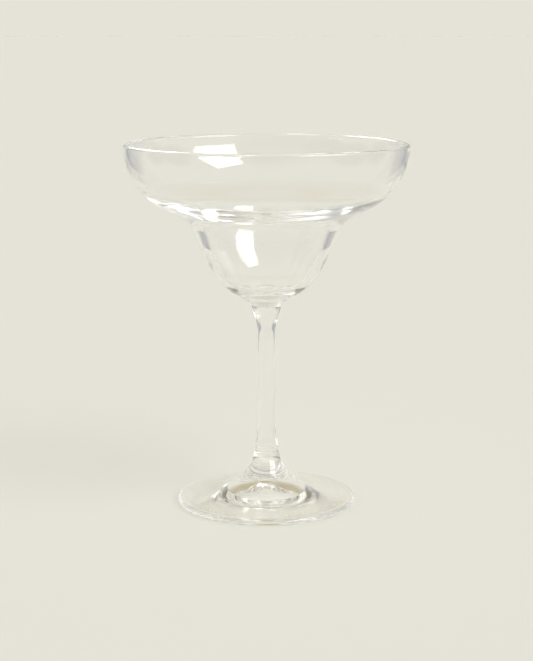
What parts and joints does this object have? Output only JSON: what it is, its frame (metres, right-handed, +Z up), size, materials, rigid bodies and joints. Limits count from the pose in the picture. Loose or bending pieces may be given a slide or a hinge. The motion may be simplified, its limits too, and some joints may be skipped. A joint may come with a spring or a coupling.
{
  "type": "margarita glass",
  "caption": "Clear stemmed cocktail glass: a wide saucer over a narrow cup, fused to a slender stem and a round spreading foot, for serving margaritas.",
  "frame": {"origin": "centre of the foot's flat standing ring, on the table", "axes": "+Z up along the glass's axis of revolution; X and Y are alike, because the glass is round"},
  "size_m": [0.117, 0.117, 0.151],
  "materials": {
    "bowl_glass": "clear, fire-polished, smooth and bright inside and out",
    "stem_glass": "clear, drawn, smooth and bright, with faint lengthwise draw lines",
    "foot_glass": "clear, pressed, bright on top, with faint shelf wear on the ring that stands on the table"
  },
  "bodies": {
    "root": {"bowl": "bowl_glass", "stem": "stem_glass", "foot": "foot_glass"}
  },
  "joints": []
}
